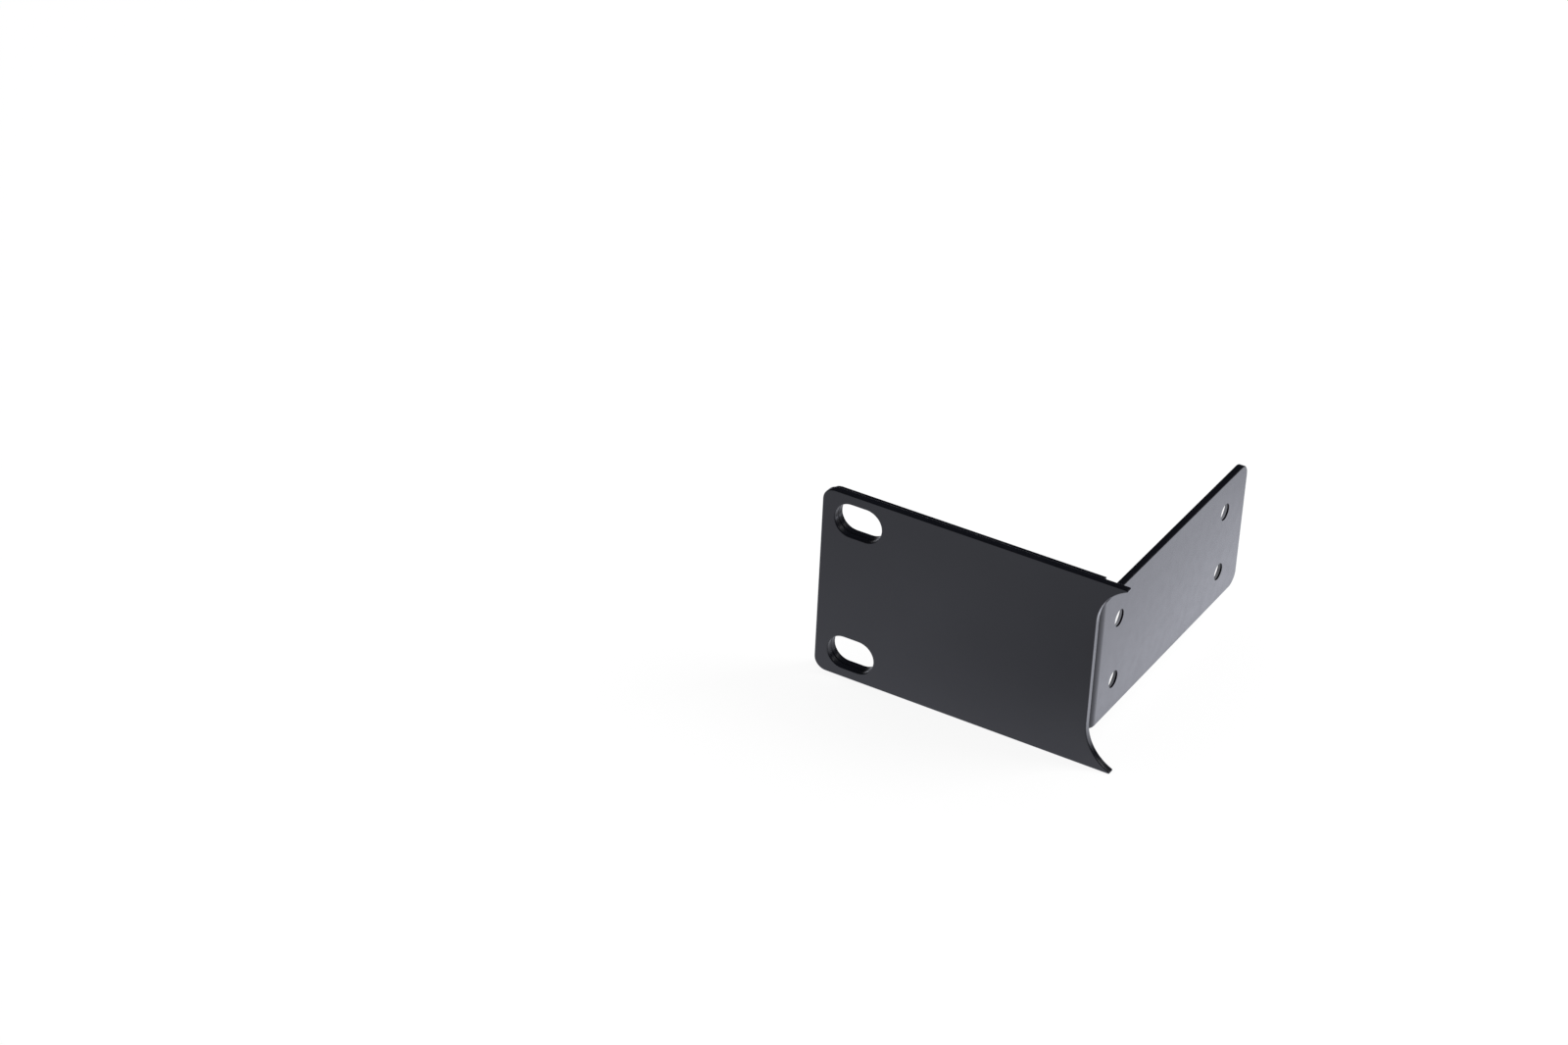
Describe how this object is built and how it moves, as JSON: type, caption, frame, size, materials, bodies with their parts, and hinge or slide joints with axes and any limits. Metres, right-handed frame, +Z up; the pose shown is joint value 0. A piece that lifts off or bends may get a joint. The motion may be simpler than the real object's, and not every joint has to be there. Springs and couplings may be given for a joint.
{
  "type": "rack mount ear bracket",
  "caption": "L-shaped rack ear: a slotted, double-sheet flange with a concave inner end, bent back into an arm with countersunk screw holes.",
  "frame": {"origin": "on the rear face of the flange, midway between the two rack slots and in line with their centres", "axes": "+Y points out of the flange's rear face, to the back of the rack; +X points out of the arm's outer face, to the device; +Z is up, from the lower rack slot to the upper one"},
  "size_m": [0.0687, 0.0698, 0.0436],
  "materials": {
    "face_plate": "satin",
    "angle_bracket": "satin"
  },
  "bodies": {
    "root": {"face_plate": "face_plate", "angle_bracket": "angle_bracket"}
  },
  "joints": []
}
